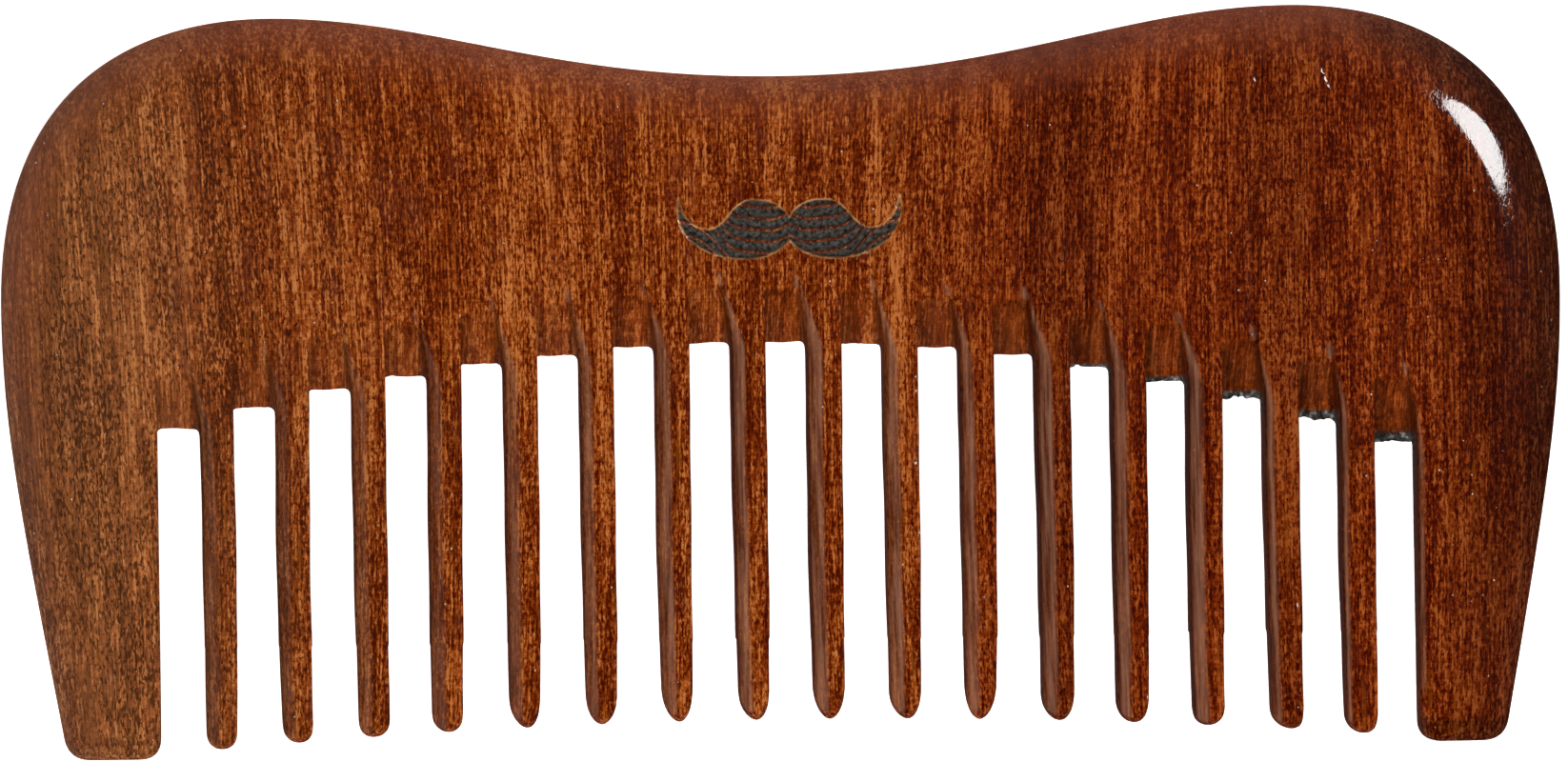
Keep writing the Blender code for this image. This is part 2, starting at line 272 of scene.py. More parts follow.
def comb_outline():
    """The comb's edge, running on below the feet so that it doesn't round them."""
    saddle = np.array([0, COMB_HEIGHT - SADDLE_DEPTH])
    hump = np.array([HUMP_OFFSET, COMB_HEIGHT])
    widest = np.array([HALF_WIDTH, WIDEST_HEIGHT])
    foot = np.array([HALF_WIDTH - FOOT_INSET, 0])
    across = np.array([1, 0])
    down = np.array([0, -1])
    up_the_edge = np.array([FOOT_LEAN, 1])
    shoulder = widest - hump
    top = bezier(
        saddle,
        saddle + across * SADDLE_HANDLE * HUMP_OFFSET,
        hump - across * HUMP_INNER_HANDLE * HUMP_OFFSET,
        hump,
        OUTLINE_STEPS,
    )
    corner = bezier(
        hump,
        hump + across * HUMP_OUTER_HANDLE * shoulder[0],
        widest + down * SHOULDER_HANDLE * shoulder[1],
        widest,
        OUTLINE_STEPS,
    )
    side = bezier(
        widest,
        widest + down * SIDE_HANDLE * WIDEST_HEIGHT,
        foot + up_the_edge * FOOT_HANDLE * WIDEST_HEIGHT,
        foot,
        OUTLINE_STEPS,
    )
    right = np.concatenate([top, corner, side, [foot, foot - up_the_edge * PAST_FOOT]])
    return np.concatenate([right, right[::-1][:-1] * [-1, 1]])


def mark_outline():
    """A plain moustache, the same as the CAD model's."""
    dip = np.array([0, 0.16])
    lobe = np.array([0.17, 0.44])
    wrist = np.array([0.37, -0.02])
    curl = np.array([0.5, 0.5])
    belly = np.array([0.2, -0.5])
    parting = np.array([0, -0.2])
    steps = MARK_STEPS
    right = np.concatenate(
        [
            bezier(dip, np.array([0.03, 0.34]), np.array([0.08, 0.46]), lobe, steps),
            bezier(lobe, np.array([0.27, 0.42]), np.array([0.28, -0.02]), wrist, steps),
            bezier(wrist, np.array([0.44, -0.02]), np.array([0.49, 0.2]), curl, steps),
            bezier(curl, np.array([0.54, -0.2]), np.array([0.36, -0.5]), belly, steps),
            bezier(belly, np.array([0.1, -0.5]), np.array([0.03, -0.36]), parting, steps),
            [parting],
        ]
    )
    left = right[::-1][1:-1] * [-1, 1]
    return np.concatenate([right, left]) * [MARK_WIDTH, MARK_HEIGHT] + [MARK_X, MARK_H]


def strand_share(x, h):
    """1 along the moustache's combed strands, which the engraving leaves standing."""
    u = np.abs(x - MARK_X) / MARK_WIDTH
    v = (h - MARK_H) / MARK_HEIGHT
    # The strands sweep out from the middle, down, and up into the curl.
    bend = 0.28 * np.sin(u * 10.2 + 0.4) * np.exp(-((u - 0.2) * 4) ** 2) - 0.9 * ramp_up(u, 0.26, 0.5)
    across = (v + bend * 0.6) * STRANDS + 0.15 * np.sin(u * 31)
    crest = 1 - np.abs(2 * (across - np.floor(across)) - 1)
    return ramp_up(crest, 0.62, 0.9)


def loop_distance(loop, x, h):
    """Signed distance to a closed loop, negative inside."""
    nearest = np.full(x.shape, np.inf)
    inside = np.zeros(x.shape, bool)
    for (ax, ah), (bx, bh) in zip(loop, np.roll(loop, -1, axis=0)):
        dx, dh = bx - ax, bh - ah
        along = np.clip(((x - ax) * dx + (h - ah) * dh) / (dx * dx + dh * dh), 0, 1)
        nearest = np.minimum(nearest, (x - ax - along * dx) ** 2 + (h - ah - along * dh) ** 2)
        if dh != 0:
            crosses = (ah > h) != (bh > h)
            inside ^= crosses & (x < ax + (h - ah) * dx / dh)
    return np.where(inside, -1, 1) * np.sqrt(nearest)


class DistanceMap:
    """A loop's signed distance, kept on a grid and read between its points."""

    def __init__(self, loop, low, high, step):
        self.low = np.array(low, float)
        self.step = step
        self.count = np.ceil((np.array(high) - self.low) / step).astype(int) + 1
        xs = self.low[0] + np.arange(self.count[0]) * step
        hs = self.low[1] + np.arange(self.count[1]) * step
        self.grid = loop_distance(loop, *np.meshgrid(xs, hs, indexing="ij"))

    def __call__(self, x, h):
        u = np.clip((x - self.low[0]) / self.step, 0, self.count[0] - 1.001)
        v = np.clip((h - self.low[1]) / self.step, 0, self.count[1] - 1.001)
        i = u.astype(int)
        j = v.astype(int)
        u = u - i
        v = v - j
        grid = self.grid
        low = grid[i, j] * (1 - u) + grid[i + 1, j] * u
        high = grid[i, j + 1] * (1 - u) + grid[i + 1, j + 1] * u
        return low * (1 - v) + high * v


outline_distance = DistanceMap(
    comb_outline(),
    (-HALF_WIDTH - OUTLINE_MARGIN, -BELOW_FEET),
    (HALF_WIDTH + OUTLINE_MARGIN, COMB_HEIGHT + OUTLINE_MARGIN),
    OUTLINE_GRID,
)
mark_distance = DistanceMap(
    mark_outline(),
    (MARK_X - MARK_WIDTH / 2 - MARK_MARGIN, MARK_H - MARK_HEIGHT / 2 - MARK_MARGIN),
    (MARK_X + MARK_WIDTH / 2 + MARK_MARGIN, MARK_H + MARK_HEIGHT / 2 + MARK_MARGIN),
    MARK_GRID,
)


def ramp_up(value, start, end):
    """0 up to start, 1 from end, and smooth between them."""
    t = np.clip((value - start) / (end - start), 0, 1)
    return t * t * (3 - 2 * t)


def smooth_max(a, b, width):
    """The larger of two fields, with the edge between them rounded over about this width."""
    blend = np.maximum(width - np.abs(a - b), 0) / width
    return np.maximum(a, b) + blend * blend * width / 4


# The teeth and cuts, as the frame places them, each with a little of the maker's hand in it.


def tooth_facts(index, name):
    """One tooth's place, and how the maker's hand bent, slimmed and pointed it."""
    low, high = (np.array(corner) * PER_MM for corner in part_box(name))
    middle = (low[0] + high[0]) / 2
    centrality = 1 - abs(2 * index / (TOOTH_COUNT - 1) - 1)
    pointed = ramp_up(centrality, POINTED_FROM, POINTED_FULL)
    # The bevels narrow over the last few teeth before the right-hand guard.
    narrow = NARROWED * ramp_up(index, TOOTH_COUNT - NARROW_FROM, TOOTH_COUNT - NARROW_TO)
    bevel = BEVEL_DEPTH * (1 - narrow)
    return {
        "middle": middle,
        "half_width": (high[0] - low[0]) / 2,
        "tip": low[1] - FOOT_Y,
        "lean": LEAN + chance.normal(0, LEAN_SPREAD),
        "bow": chance.normal(0, BOW_SPREAD),
        "wave": chance.uniform(0, 2 * math.pi),
        "slimming": SLIMMING + MIDDLE_SLIMMING * centrality + chance.normal(0, SLIMMING_SPREAD),
        "tip_length": TIP_LENGTH + MIDDLE_TIP_LENGTH * pointed + chance.normal(0, TIP_LENGTH_SPREAD),
        "tip_power": TIP_POWER - MIDDLE_TIP_POWER * pointed,
        "tip_shift": chance.normal(TIP_SHIFT, TIP_SHIFT_SPREAD),
        "bevel": bevel * (1 + chance.normal(0, BEVEL_SPREAD)),
        "bevel_top": chance.normal(0, BEVEL_TOP_SPREAD),
    }


def share_down(h):
    """0 where the teeth start to bend, 1 at the height of the feet."""
    return np.clip((TOOTH_BEND_HEIGHT - h) / TOOTH_BEND_HEIGHT, 0, 1)


def tooth_middle(tooth, h):
    """Where a tooth's middle line runs: it leans and bows a little towards its tip."""
    down = share_down(h)
    return tooth["middle"] + tooth["lean"] * down**2 + tooth["bow"] * np.sin(down * math.pi)


def tooth_half_width(tooth, h, side):
    """Half a tooth's width, slimming towards the tip. Its two sides ripple apart."""
    down = share_down(h)
    ripple = RIPPLE * np.sin(h * RIPPLE_RATE + tooth["wave"] + side)
    ripple = ripple * ramp_up(TOOTH_BEND_HEIGHT - h, 0, RIPPLE_START)
    return tooth["half_width"] - tooth["slimming"] * down**2 / 2 + ripple


teeth = [tooth_facts(index, name) for index, name in enumerate(TEETH)]
LEFT_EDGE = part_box("left_guard")[1][0] * PER_MM
RIGHT_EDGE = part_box("right_guard")[0][0] * PER_MM
ROW_HALF = (RIGHT_EDGE - LEFT_EDGE) / 2


def root_height(x):
    """The arched line on which the saw cuts end."""
    return ROOT_HEIGHT - ROOT_DROP * ((x - ROOT_MIDDLE) / ROW_HALF) ** 2


def cut_facts(index):
    """One saw cut, between two teeth or a tooth and a guard, counted from the left."""
    left = teeth[index - 1] if index > 0 else None
    right = teeth[index] if index < TOOTH_COUNT else None
    low = left["middle"] + left["half_width"] if left else LEFT_EDGE
    high = right["middle"] - right["half_width"] if right else RIGHT_EDGE
    middle = (low + high) / 2
    return {
        "left": left,
        "right": right,
        "middle": middle,
        "half_width": (high - low) / 2,
        "root": root_height(middle) + chance.normal(0, ROOT_SPREAD),
        "ramp": RAMP_HEIGHT + chance.normal(0, RAMP_SPREAD),
        "root_tilt": chance.normal(0, ROOT_TILT_SPREAD),
        "lip": LIP_GROWTH * max(0, index - TOOTH_COUNT + BURNT_CUTS),
        "wave": chance.uniform(0, 2 * math.pi),
    }


cuts = [cut_facts(index) for index in range(TOOTH_COUNT + 1)]


def cut_walls(cut, h):
    """The two sides of a cut at a height."""
    if cut["left"]:
        left = tooth_middle(cut["left"], h) + tooth_half_width(cut["left"], h, LEFT_SIDE)
    else:
        left = np.full_like(h, LEFT_EDGE)
    if cut["right"]:
        right = tooth_middle(cut["right"], h) - tooth_half_width(cut["right"], h, RIGHT_SIDE)
    else:
        right = np.full_like(h, RIGHT_EDGE)
    # Above the root the right-hand wall leans in over the ramp.
    lean_start = cut["root"] - WALL_LEAN_BELOW_ROOT
    lean_end = cut["root"] + cut["ramp"] + WALL_LEAN_ABOVE_RAMP
    return left, right - WALL_LEAN * ramp_up(h, lean_start, lean_end)


def ramp_line(cut, z):
    """Height of a cut's ramp at each depth in the plate."""
    return cut["root"] + cut["ramp"] * np.clip(z / THICKNESS, 0.001, RAMP_PAST_FACE) ** RAMP_CURVE


def groove_share(cut, x, z):
    """1 in the narrow groove between a ramp and the tooth on its right, widest at the root."""
    line = ramp_line(cut, z)
    down = np.clip(1 - (line - cut["root"]) / cut["ramp"], 0, 1)
    edge = cut_walls(cut, line)[1] - GROOVE_EDGE - GROOVE_WIDENING * down
    return ramp_up(x, edge, edge + GROOVE_EDGE)


def cut_root(cut, x, z):
    """Height of a cut's end: a ramp left by the round saw, with a burnt lip at the back."""
    wobble = ROOT_WOBBLE * np.sin(x * ROOT_WOBBLE_RATE + cut["wave"])
    root = ramp_line(cut, z)
    root = root + cut["root_tilt"] * (x - cut["middle"]) + wobble
    root = root + GROOVE_DEPTH * groove_share(cut, x, z) * ramp_up(z, GROOVE_START, GROOVE_FULL)
    if cut["lip"] > 0:
        ragged = 1
        for rate, size in RAGGED:
            ragged = ragged + size * np.sin(x * rate + cut["wave"])
        root = root - cut["lip"] * ragged * (1 - ramp_up(z, LIP_FLAT, LIP_END))
    return root


# The whole shape.


def half_thickness(h):
    """Half the wood's thickness at a height."""
    below = np.maximum(0, TAPER_HEIGHT - h)
    thinned = below**2 / (TAPER_HEIGHT - h + TAPER_EASING).clip(TAPER_EASING) / TAPER_HEIGHT
    return (THICKNESS - (THICKNESS - TIP_THICKNESS) * thinned) / 2


def hand_finish(x, h):
    """The faces' slight unevenness under the varnish: never above the flat."""
    waves = np.sin(x * 0.21 + 0.7) * np.sin(h * 0.17 + 1.1)
    waves = waves + 0.6 * np.sin(x * 0.47 + h * 0.13 + 2.0) + 0.4 * np.sin(h * 0.39 - x * 0.11)
    return HAND_FINISH * (2.0 - waves)


def plate(x, h, z):
    """The plate with its rounded rim, before it is sawn."""
    inside = -outline_distance(x, h)
    cornering = ramp_up(np.abs(x), SADDLE_END, CORNER_START)
    reach = RIM_ROUND_SADDLE + (RIM_ROUND_CORNER - RIM_ROUND_SADDLE) * cornering
    depth = half_thickness(h) - hand_finish(x, h)
    over = np.maximum(reach - inside, 0)
    up = np.abs(z - MID_Z)
    scaled = np.sqrt((over / reach) ** 2 + (up / depth) ** 2)
    steepness = np.sqrt((over / reach**2) ** 2 + (up / depth**2) ** 2)
    return scaled * (scaled - 1) / np.maximum(steepness, 1e-6)


def cut_field(cut, x, h, z):
    """Negative in the air of one saw cut."""
    left, right = cut_walls(cut, h)
    walls = np.maximum(left - x, x - right)
    end = (h - cut_root(cut, x, z)) * RAMP_SLOPE
    return smooth_max(walls, end, CUT_CORNER_EASED)


def bevel_field(cut, x, h, z):
    """Positive where the wide bevel has taken the front corner of a cut's right-hand wall."""
    guard = {"bevel": BEVEL_DEPTH * GUARD_BEVEL, "bevel_top": GUARD_BEVEL_TOP}
    tooth = cut["right"] or guard
    right = cut_walls(cut, h)[1]
    top = cut["root"] + cut["ramp"] + BEVEL_ABOVE_RAMP + tooth["bevel_top"]
    depth = tooth["bevel"] * np.clip((top - h) / BEVEL_FADE, -BEVEL_LIFT, 1)
    below_face = MID_Z + half_thickness(h) - z
    plane = depth - ((x - right) * BEVEL_ACROSS + below_face * BEVEL_DOWN)
    return np.minimum(plane, x - right + BEVEL_PAST_WALL)


def foot_field(h, z):
    """Positive below the guards' feet and in front of their chamfer."""
    face = MID_Z + half_thickness(h) - FOOT_CHAMFER_DEPTH * (1 - h / FOOT_CHAMFER_HEIGHT)
    return smooth_max(-h, (z - face) * FOOT_CHAMFER_SLOPE, FOOT_CHAMFER_EASED)


def tip_field(tooth, x, h, z):
    """Positive beyond a tooth's tip, which is a rounded bullet, blunter on the outer teeth."""
    half = tooth_half_width(tooth, h, 0)
    down = np.clip(1 - (h - tooth["tip"]) / tooth["tip_length"], 0, 2)
    across = np.abs(x - tooth_middle(tooth, h) - tooth["tip_shift"] * down**2) / half
    through = np.abs(z - MID_Z) / half_thickness(h)
    power = tooth["tip_power"]
    round_off = TIP_ROUND_THROUGH * through**4 * down
    return ((across**power + down**power + round_off) ** (1 / power) - 1) * half


def nick_field(x, h, z, start, end, radius):
    """Distance to a small groove in the front face, left by a tool."""
    dx, dh = end[0] - start[0], end[1] - start[1]
    along = ((x - start[0]) * dx + (h - start[1]) * dh) / (dx * dx + dh * dh)
    t = np.clip(along, 0, 1)
    width = radius * (NICK_END_SHARE + (1 - NICK_END_SHARE) * np.sin(t * math.pi))
    aside = np.hypot(x - start[0] - t * dx, h - start[1] - t * dh)
    return np.hypot(aside, (THICKNESS - z) * NICK_STEEPNESS) - width


def saw(field, cut, x, h, z):
    """Takes one saw cut and its bevel out of the field."""
    beside = np.abs(x - cut["middle"]) < cut["half_width"] + CUT_REACH
    near = beside & (h < ROOT_HEIGHT + CUT_REACH_UP)
    if not near.any():
        return
    nx, nh, nz = x[near], h[near], z[near]
    kept = smooth_max(field[near], -cut_field(cut, nx, nh, nz), EASED)
    on_right = nx > cut["middle"] - 0.5
    bevelled = smooth_max(kept, bevel_field(cut, nx, nh, nz), BEVEL_EASED)
    field[near] = np.where(on_right, bevelled, kept)


def point(field, tooth, x, h, z):
    """Rounds one tooth's tip."""
    near = (np.abs(x - tooth["middle"]) < TIP_REACH) & (h < TIP_REACH_UP)
    if near.any():
        tip = tip_field(tooth, x[near], h[near], z[near])
        field[near] = smooth_max(field[near], tip, EASED)


def trim_feet(field, x, h, z):
    """Ends the guards at their flat feet."""
    near = (h < FOOT_REACH) & (np.abs(x) > ROW_HALF - 2)
    if near.any():
        field[near] = smooth_max(field[near], foot_field(h[near], z[near]), FOOT_EASED)


def engrave(field, x, h, z):
    """Sinks the ornament into the face, and leaves its strands standing."""
    beside = np.abs(x - MARK_X) < MARK_WIDTH / 2 + FACE_REACH
    near = beside & (np.abs(h - MARK_H) < MARK_HEIGHT) & (z > THICKNESS - FACE_REACH)
    if near.any():
        walls = mark_distance(x[near], h[near])
        depth = MARK_DEPTH * (1 - STRAND_RELIEF * strand_share(x[near], h[near]))
        bed = (THICKNESS - depth - z[near]) * MARK_BED_SLOPE
        field[near] = smooth_max(field[near], -np.maximum(walls, bed), MARK_EASED)


def scratch(field, nick, x, h, z):
    """Cuts one of the tool's small grooves."""
    start = nick[0]
    beside = (np.abs(x - start[0]) < NICK_REACH) & (np.abs(h - start[1]) < NICK_REACH_UP)
    near = beside & (z > THICKNESS - FACE_REACH)
    if near.any():
        groove = nick_field(x[near], h[near], z[near], *nick)
        field[near] = smooth_max(field[near], -groove, NICK_EASED)


def comb_field(x, h, z):
    """The comb's signed field. All three are arrays of one shape."""
    field = plate(x, h, z)
    for cut in cuts:
        saw(field, cut, x, h, z)
    for tooth in teeth:
        point(field, tooth, x, h, z)
    trim_feet(field, x, h, z)
    engrave(field, x, h, z)
    for nick in NICKS:
        scratch(field, nick, x, h, z)
    return field


# Meshing the field.


def spaced(stops, steps):
    """Grid lines through these stops, with about this step in each stretch between them."""
    lines = [stops[0]]
    for low, high, step in zip(stops, stops[1:], steps):
        count = max(1, round((high - low) / step))
        lines += [low + (high - low) * (i + 1) / count for i in range(count)]
    return np.array(lines)


def grid_lines(coarse):
    """The grid's lines in each direction: finest at the ornament and under the front face."""
    side = MARK_WIDTH / 2 + 0.6
    tall = MARK_HEIGHT / 2 + 0.5
    xs = spaced(
        [-HALF_WIDTH - 1, MARK_X - side, MARK_X + side, HALF_WIDTH + 1],
        [PLAIN_STEP * coarse, MARK_STEP * coarse, PLAIN_STEP * coarse],
    )
    hs = spaced(
        [-1, MARK_H - tall, MARK_H + tall, COMB_HEIGHT + 1],
        [PLAIN_STEP_UP * coarse, MARK_STEP * coarse, PLAIN_STEP_UP * coarse],
    )
    zs = spaced(
        [-0.7, 0.8, THICKNESS - 1.8, THICKNESS + 0.6],
        [BACK_STEP * coarse, MIDDLE_STEP * coarse, FRONT_STEP * coarse],
    )
    return xs, hs, zs


def surface_nets(field, lines):
    """Points and quads of the field's zero surface: one point in each cell that it crosses."""
    shape = np.array(field.shape) - 1
    corner_steps = [(i, j, k) for i in (0, 1) for j in (0, 1) for k in (0, 1)]

    def corner(step):
        return tuple(slice(s, s + n) for s, n in zip(step, shape))

    inside = field < 0
    count = sum(inside[corner(step)].astype(np.int8) for step in corner_steps)
    cells = np.argwhere((count > 0) & (count < 8))
    number = np.full(shape, -1, np.int64)
    number[tuple(cells.T)] = np.arange(len(cells))
    total = np.zeros((len(cells), 3))
    hits = np.zeros(len(cells))
    for axis in range(3):
        for step in corner_steps:
            if step[axis]:
                continue
            near = cells + step
            far = near.copy()
            far[:, axis] += 1
            a = field[tuple(near.T)]
            b = field[tuple(far.T)]
            crossed = (a < 0) != (b < 0)
            share = np.where(crossed, a / np.where(crossed, a - b, 1), 0)
            place = np.stack([lines[d][near[:, d]] for d in range(3)], axis=1)
            place[:, axis] += share * (lines[axis][far[:, axis]] - lines[axis][near[:, axis]])
            total += place * crossed[:, None]
            hits += crossed
    points = total / hits[:, None]
    quads = []
    for axis in range(3):
        low = [slice(1, n) for n in shape]
        high = list(low)
        low[axis] = slice(0, shape[axis])
        high[axis] = slice(1, shape[axis] + 1)
        a = inside[tuple(low)]
        edges = np.argwhere(a != inside[tuple(high)])
        first = a[tuple(edges.T)]
        at = edges + [0 if d == axis else 1 for d in range(3)]
        b_axis, c_axis = (axis + 1) % 3, (axis + 2) % 3
        ring = []
        for back_b, back_c in ((1, 1), (0, 1), (0, 0), (1, 0)):
            cell = at.copy()
            cell[:, b_axis] -= back_b
            cell[:, c_axis] -= back_c
            ring.append(number[tuple(cell.T)])
        quad = np.stack(ring, axis=1)
        quads.append(np.where(first[:, None], quad, quad[:, ::-1]))
    return points, np.concatenate(quads)


def gradient(points, step):
    """The field's slope at points, by central differences."""
    slope = np.empty_like(points)
    for axis in range(3):
        ahead = points.copy()
        behind = points.copy()
        ahead[:, axis] += step
        behind[:, axis] -= step
        slope[:, axis] = (comb_field(*ahead.T) - comb_field(*behind.T)) / (2 * step)
    return slope


def onto_surface(points, rounds):
    """Moves points along the slope until they lie on the surface."""
    for _ in range(rounds):
        slope = gradient(points, SLOPE_STEP)
        steep = np.maximum((slope**2).sum(axis=1), LEAST_STEEPNESS)
        move = comb_field(*points.T) / steep
        points = points - slope * np.clip(move, -MOST_MOVE, MOST_MOVE)[:, None]
    return points


def to_world(points):
    """Metres in the frame, from this file's millimetres."""
    return (points + [0, FOOT_Y, 0]) * MM


def from_world(mesh):
    """A mesh's points in this file's millimetres."""
    places = np.empty(len(mesh.vertices) * 3, np.float32)
    mesh.vertices.foreach_get("co", places)
    return places.reshape(-1, 3).astype(float) * PER_MM - [0, FOOT_Y, 0]


def comb_object(coarse, most_faces):
    """The comb as one object, thinned where it is flat."""
    lines = grid_lines(coarse)
    plan_x, plan_h = np.meshgrid(lines[0], lines[1], indexing="ij")
    layers = [comb_field(plan_x, plan_h, np.full_like(plan_x, z)) for z in lines[2]]
    points, quads = surface_nets(np.stack(layers, axis=2), lines)
    points = onto_surface(points, ROUNDS_BEFORE_THINNING)
    mesh = bpy.data.meshes.new("comb")
    mesh.from_pydata(to_world(points), [], quads.tolist())
    comb = bpy.data.objects.new("comb", mesh)
    bpy.context.scene.collection.objects.link(comb)
    thin = comb.modifiers.new("thin", "DECIMATE")
    thin.ratio = min(1, most_faces / (2 * len(quads)))
    graph = bpy.context.evaluated_depsgraph_get()
    thinned = bpy.data.meshes.new_from_object(comb.evaluated_get(graph))
    comb.modifiers.clear()
    comb.data = thinned
    return comb


def keep_in_box(places):
    """The mesh's points, held inside the CAD model's box."""
    return np.clip(places, (LOW - [0, FOOT_Y, 0]), (HIGH - [0, FOOT_Y, 0]))


def add_values(mesh, name, values):
    """Gives the material one number at each point."""
    layer = mesh.attributes.new(name, "FLOAT", "POINT")
    layer.data.foreach_set("value", values.astype(np.float32))


def near_surface(distance, full, none):
    """1 within the first distance of a surface, and 0 past the second."""
    return 1 - ramp_up(np.abs(distance), full, none)


def strongest(share_of, x, h, z):
    """The largest share that any one cut gives each point."""
    share = np.zeros_like(x)
    for cut in cuts:
        share = np.maximum(share, share_of(cut, x, h, z))
    return share


def ramp_share(cut, x, h, z):
    """1 on a cut's ramp, where the sawn wood is smooth, and 0 elsewhere."""
    left, right = cut_walls(cut, h)
    across = ramp_up(x, left - 0.25, left + 0.05) * ramp_up(-x, -right - 0.1, -right + 0.15)
    along = 1 - 0.6 * ramp_up(z, 0.45 * THICKNESS, THICKNESS)
    return across * along * near_surface(h - cut_root(cut, x, z), *ON_RAMP)


def shadow_share(cut, x, h, z):
    """1 in the groove beside a ramp, which gets painted shade, and 0 elsewhere."""
    on_ramp = near_surface(h - cut_root(cut, x, z), *ON_GROOVE)
    inside = x < cut_walls(cut, h)[1] + 0.1
    return groove_share(cut, x, z) * on_ramp * inside


def bevel_share(cut, x, h, z):
    """1 on a wide bevel, where a painted sheen lies and the pores fade, fainter at the left, and 0
    elsewhere.
    """
    rise = ramp_up(cut["middle"], FAINT_BEVEL_END, FULL_BEVEL_START)
    strength = FAINT_BEVEL + (1 - FAINT_BEVEL) * rise
    on_bevel = near_surface(bevel_field(cut, x, h, z), *ON_BEVEL) * strength
    return on_bevel * (h < cut["root"] + cut["ramp"] + 1)


def burnt_share(cut, x, h, z):
    """1 on the saw's burnt lip, at the back of the cuts that have one, and 0 elsewhere."""
    at_end = ramp_up(cut["root"] + 0.35 - h, 0, 0.3) * (1 - ramp_up(z, 1.0, 1.5))
    beside = np.abs(x - cut["middle"]) < cut["half_width"] + 0.05
    return at_end * beside * (h > cut["root"] - 2) * (cut["lip"] > 0)


def near_edge(x, h, full, none):
    """1 up to the first distance in from the outline, and 0 past the second."""
    return 1 - ramp_up(-outline_distance(x, h), full, none)


def rim_sheen_share(x, h):
    """1 on the rim, where a painted sheen lies, less so low down and at the right-hand corner."""
    rim = near_edge(x, h, *ON_RIM)
    return rim * (0.3 + 0.7 * ramp_up(h, 18, 48)) * (1 - 0.85 * ramp_up(x, 44, 57))


def edge_shade_share(x, h):
    """1 where painted shade darkens the right-hand corner's edge and, less so, the feet's bottom
    band, most at the right.
    """
    corner_shade = near_edge(x, h, *ON_CORNER_EDGE) * ramp_up(x + 0.35 * h, 62, 70)
    foot = (1 - ramp_up(h, 1.5, 2.1)) * (np.abs(x) > ROW_HALF - 0.3)
    return np.maximum(corner_shade, foot * (0.2 + 0.6 * (x > 0)))


def grain_place(x, h, z, ramps):
    """Where each point lies in the wood's grain, which bows and follows the left-hand edge."""
    z = z + (THICKNESS - z) * np.minimum(1, 2.5 * ramps)
    lean = 0.05 * ramp_up(-x, 22, 60)
    bow = 0.9 * np.sin(x * 0.06 + 0.4) * np.sin(h * 0.055)
    return np.stack([x + lean * (h - 40) + bow, h, z], axis=1)


def finish_comb(comb):
    """Puts the points exactly on the surface and gives the material what it reads."""
    mesh = comb.data
    points = keep_in_box(onto_surface(from_world(mesh), ROUNDS_AFTER_THINNING))
    mesh.vertices.foreach_set("co", to_world(points).astype(np.float32).ravel())
    mesh.update()
    mesh.shade_smooth()
    slope = gradient(points, NORMAL_STEP)
    normals = slope / np.linalg.norm(slope, axis=1)[:, None]
    mesh.normals_split_custom_set_from_vertices(normals)
    x, h, z = points.T
    near_mark = mark_distance(x, h)
    add_values(mesh, "mark_distance", np.where(z > THICKNESS - 1, near_mark, 3))
    ramps = strongest(ramp_share, x, h, z)
    add_values(mesh, "ramp_share", ramps)
    add_values(mesh, "bevel_share", strongest(bevel_share, x, h, z))
    add_values(mesh, "shadow_share", strongest(shadow_share, x, h, z))
    add_values(mesh, "steep_share", 1 - ramp_up(np.abs(normals[:, 2]), 0.12, 0.5))
    add_values(mesh, "burnt_share", strongest(burnt_share, x, h, z))
    add_values(mesh, "strand_share", strand_share(x, h))
    add_values(mesh, "rim_sheen_share", rim_sheen_share(x, h))
    add_values(mesh, "edge_shade_share", edge_shade_share(x, h))
    grain = mesh.attributes.new("grain_place", "FLOAT_VECTOR", "POINT")
    grain.data.foreach_set("vector", grain_place(x, h, z, ramps).astype(np.float32).ravel())


# The material.


SHADER_OF = {bpy.types.Material: "Principled BSDF", bpy.types.World: "Background"}

# How bright a white face under the studio's lights is.
LIGHT_LEVEL = 1.4

# Stretches of the comb over which the wood's colour changes, measured from its middle.
# Over these the left end gets a painted sheen that greys it, and clearer grain lines.
LEFT_SHEEN_AND_LINES = (22, 64)
LEFT_GREY_SHEEN = (42, 58)
RED_RIGHT = (5, 19)
# Painted shade along the right-hand edge.
SHADED_RIGHT_EDGE = (49, 58)
# Two dark growth bands on the right: the middle and strength of each, and how it fades.
DARK_BANDS = ((23.0, 0.6), (40.0, 0.45))
BAND_FADE = (1.0, 6.0)

# The varnish over the wood.
WOOD_IOR = 1.3
WOOD_SPECULAR = 0.1
COAT_IOR = 1.6
COAT_ROUGHNESS = 0.05
BARE_COAT_LOSS = 0.85
ROUGHNESS_LEAST = 0.4
ROUGHNESS_RANGE = 0.16
CHARRED_ROUGHNESS = 0.25
RELIEF_HEIGHT = 0.05 * MM
WOOD_RELIEF = 0.6
COAT_RELIEF = 0.05


def opaque(shade):
    """A plain colour with its alpha. Another node's output stays as it is."""
    return (*shade, 1) if isinstance(shade, tuple) else shade


